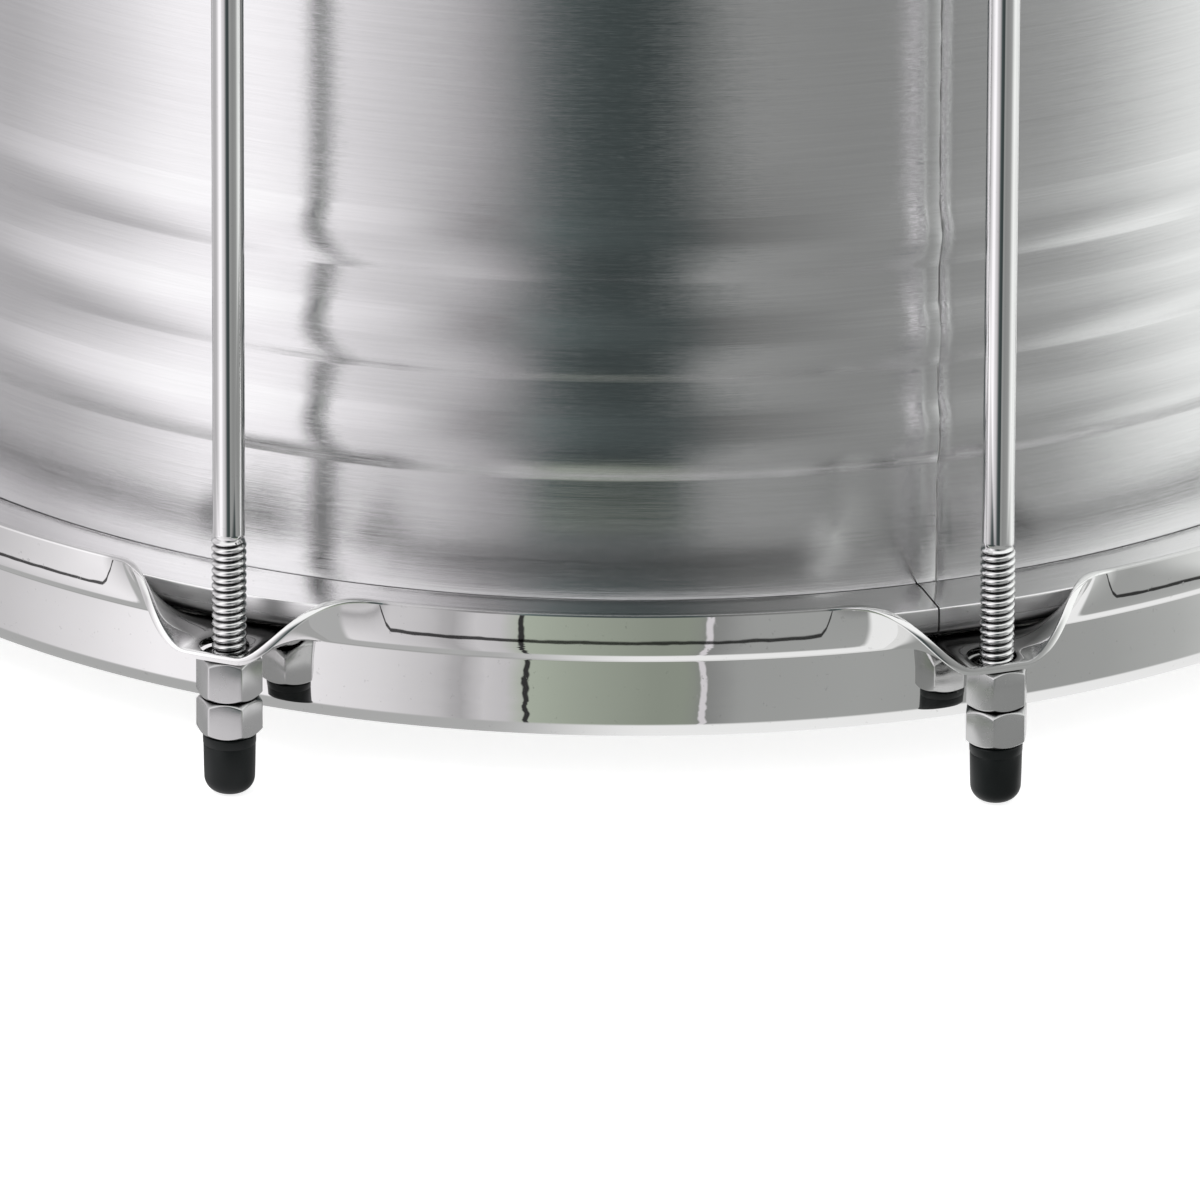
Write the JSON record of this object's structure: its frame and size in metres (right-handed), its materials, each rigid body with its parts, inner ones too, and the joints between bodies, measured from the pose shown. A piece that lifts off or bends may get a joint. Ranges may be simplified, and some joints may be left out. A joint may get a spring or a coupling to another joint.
{
  "type": "repinique drum",
  "caption": "Two-headed metal tension drum: beaded sheet shell, pressed counterhoops with turned-out ears, tension rods with tuning nuts, lock nuts and end caps.",
  "frame": {"origin": "on the drum's axis, on the floor that the end caps stand on", "axes": "+Z along the drum's axis from the standing end to the playing end; the middle of a gap between two rods faces -Y"},
  "size_m": [0.3408, 0.3408, 0.3282],
  "materials": {
    "brushed_shell": "horizontally brushed sheet, satin",
    "polished_hoop": "mirror chrome on pressed steel sheet",
    "flesh_hoop": "drawn aluminium, fine lengthwise lines",
    "film": "milky polyester film, slightly see-through",
    "rod_chrome": "bright chrome with a rolled thread",
    "nut_chrome": "satin nickel-chrome",
    "cap_rubber": "black, semi-matte"
  },
  "bodies": {
    "drum": {"shell": "brushed_shell", "bottom_head": "film", "top_head": "film", "bottom_flesh_hoop": "flesh_hoop", "top_flesh_hoop": "flesh_hoop", "bottom_counterhoop": "polished_hoop", "top_counterhoop": "polished_hoop"},
    "rod_1": {"tension_rod_1": "rod_chrome", "end_cap_1": "cap_rubber"},
    "rod_2": {"tension_rod_2": "rod_chrome", "end_cap_2": "cap_rubber"},
    "rod_3": {"tension_rod_3": "rod_chrome", "end_cap_3": "cap_rubber"},
    "rod_4": {"tension_rod_4": "rod_chrome", "end_cap_4": "cap_rubber"},
    "rod_5": {"tension_rod_5": "rod_chrome", "end_cap_5": "cap_rubber"},
    "rod_6": {"tension_rod_6": "rod_chrome", "end_cap_6": "cap_rubber"},
    "rod_7": {"tension_rod_7": "rod_chrome", "end_cap_7": "cap_rubber"},
    "rod_8": {"tension_rod_8": "rod_chrome", "end_cap_8": "cap_rubber"},
    "tuning_1": {"tuning_nut_1": "nut_chrome"},
    "tuning_2": {"tuning_nut_2": "nut_chrome"},
    "tuning_3": {"tuning_nut_3": "nut_chrome"},
    "tuning_4": {"tuning_nut_4": "nut_chrome"},
    "tuning_5": {"tuning_nut_5": "nut_chrome"},
    "tuning_6": {"tuning_nut_6": "nut_chrome"},
    "tuning_7": {"tuning_nut_7": "nut_chrome"},
    "tuning_8": {"tuning_nut_8": "nut_chrome"},
    "lock_1": {"lock_nut_1": "nut_chrome"},
    "lock_2": {"lock_nut_2": "nut_chrome"},
    "lock_3": {"lock_nut_3": "nut_chrome"},
    "lock_4": {"lock_nut_4": "nut_chrome"},
    "lock_5": {"lock_nut_5": "nut_chrome"},
    "lock_6": {"lock_nut_6": "nut_chrome"},
    "lock_7": {"lock_nut_7": "nut_chrome"},
    "lock_8": {"lock_nut_8": "nut_chrome"}
  },
  "joints": [
    {"name": "rod_1_turn", "type": "hinge", "parent": "drum", "child": "rod_1", "pos_m": [0.06716, -0.16214, 0], "axis": [0, 0, 1], "continuous": true},
    {"name": "rod_2_turn", "type": "hinge", "parent": "drum", "child": "rod_2", "pos_m": [0.16214, -0.06716, 0], "axis": [0, 0, 1], "continuous": true},
    {"name": "rod_3_turn", "type": "hinge", "parent": "drum", "child": "rod_3", "pos_m": [0.16214, 0.06716, 0], "axis": [0, 0, 1], "continuous": true},
    {"name": "rod_4_turn", "type": "hinge", "parent": "drum", "child": "rod_4", "pos_m": [0.06716, 0.16214, 0], "axis": [0, 0, 1], "continuous": true},
    {"name": "rod_5_turn", "type": "hinge", "parent": "drum", "child": "rod_5", "pos_m": [-0.06716, 0.16214, 0], "axis": [0, 0, 1], "continuous": true},
    {"name": "rod_6_turn", "type": "hinge", "parent": "drum", "child": "rod_6", "pos_m": [-0.16214, 0.06716, 0], "axis": [0, 0, 1], "continuous": true},
    {"name": "rod_7_turn", "type": "hinge", "parent": "drum", "child": "rod_7", "pos_m": [-0.16214, -0.06716, 0], "axis": [0, 0, 1], "continuous": true},
    {"name": "rod_8_turn", "type": "hinge", "parent": "drum", "child": "rod_8", "pos_m": [-0.06716, -0.16214, 0], "axis": [0, 0, 1], "continuous": true},
    {"name": "tuning_nut_1_turn", "type": "hinge", "parent": "rod_1", "child": "tuning_1", "pos_m": [0.06716, -0.16214, 0.0219], "axis": [0, 0, 1], "continuous": true},
    {"name": "tuning_nut_2_turn", "type": "hinge", "parent": "rod_2", "child": "tuning_2", "pos_m": [0.16214, -0.06716, 0.0219], "axis": [0, 0, 1], "continuous": true},
    {"name": "tuning_nut_3_turn", "type": "hinge", "parent": "rod_3", "child": "tuning_3", "pos_m": [0.16214, 0.06716, 0.0219], "axis": [0, 0, 1], "continuous": true},
    {"name": "tuning_nut_4_turn", "type": "hinge", "parent": "rod_4", "child": "tuning_4", "pos_m": [0.06716, 0.16214, 0.0219], "axis": [0, 0, 1], "continuous": true},
    {"name": "tuning_nut_5_turn", "type": "hinge", "parent": "rod_5", "child": "tuning_5", "pos_m": [-0.06716, 0.16214, 0.0219], "axis": [0, 0, 1], "continuous": true},
    {"name": "tuning_nut_6_turn", "type": "hinge", "parent": "rod_6", "child": "tuning_6", "pos_m": [-0.16214, 0.06716, 0.0219], "axis": [0, 0, 1], "continuous": true},
    {"name": "tuning_nut_7_turn", "type": "hinge", "parent": "rod_7", "child": "tuning_7", "pos_m": [-0.16214, -0.06716, 0.0219], "axis": [0, 0, 1], "continuous": true},
    {"name": "tuning_nut_8_turn", "type": "hinge", "parent": "rod_8", "child": "tuning_8", "pos_m": [-0.06716, -0.16214, 0.0219], "axis": [0, 0, 1], "continuous": true},
    {"name": "lock_nut_1_turn", "type": "hinge", "parent": "rod_1", "child": "lock_1", "pos_m": [0.06716, -0.16214, 0.0146], "axis": [0, 0, 1], "continuous": true},
    {"name": "lock_nut_2_turn", "type": "hinge", "parent": "rod_2", "child": "lock_2", "pos_m": [0.16214, -0.06716, 0.0146], "axis": [0, 0, 1], "continuous": true},
    {"name": "lock_nut_3_turn", "type": "hinge", "parent": "rod_3", "child": "lock_3", "pos_m": [0.16214, 0.06716, 0.0146], "axis": [0, 0, 1], "continuous": true},
    {"name": "lock_nut_4_turn", "type": "hinge", "parent": "rod_4", "child": "lock_4", "pos_m": [0.06716, 0.16214, 0.0146], "axis": [0, 0, 1], "continuous": true},
    {"name": "lock_nut_5_turn", "type": "hinge", "parent": "rod_5", "child": "lock_5", "pos_m": [-0.06716, 0.16214, 0.0146], "axis": [0, 0, 1], "continuous": true},
    {"name": "lock_nut_6_turn", "type": "hinge", "parent": "rod_6", "child": "lock_6", "pos_m": [-0.16214, 0.06716, 0.0146], "axis": [0, 0, 1], "continuous": true},
    {"name": "lock_nut_7_turn", "type": "hinge", "parent": "rod_7", "child": "lock_7", "pos_m": [-0.16214, -0.06716, 0.0146], "axis": [0, 0, 1], "continuous": true},
    {"name": "lock_nut_8_turn", "type": "hinge", "parent": "rod_8", "child": "lock_8", "pos_m": [-0.06716, -0.16214, 0.0146], "axis": [0, 0, 1], "continuous": true}
  ]
}
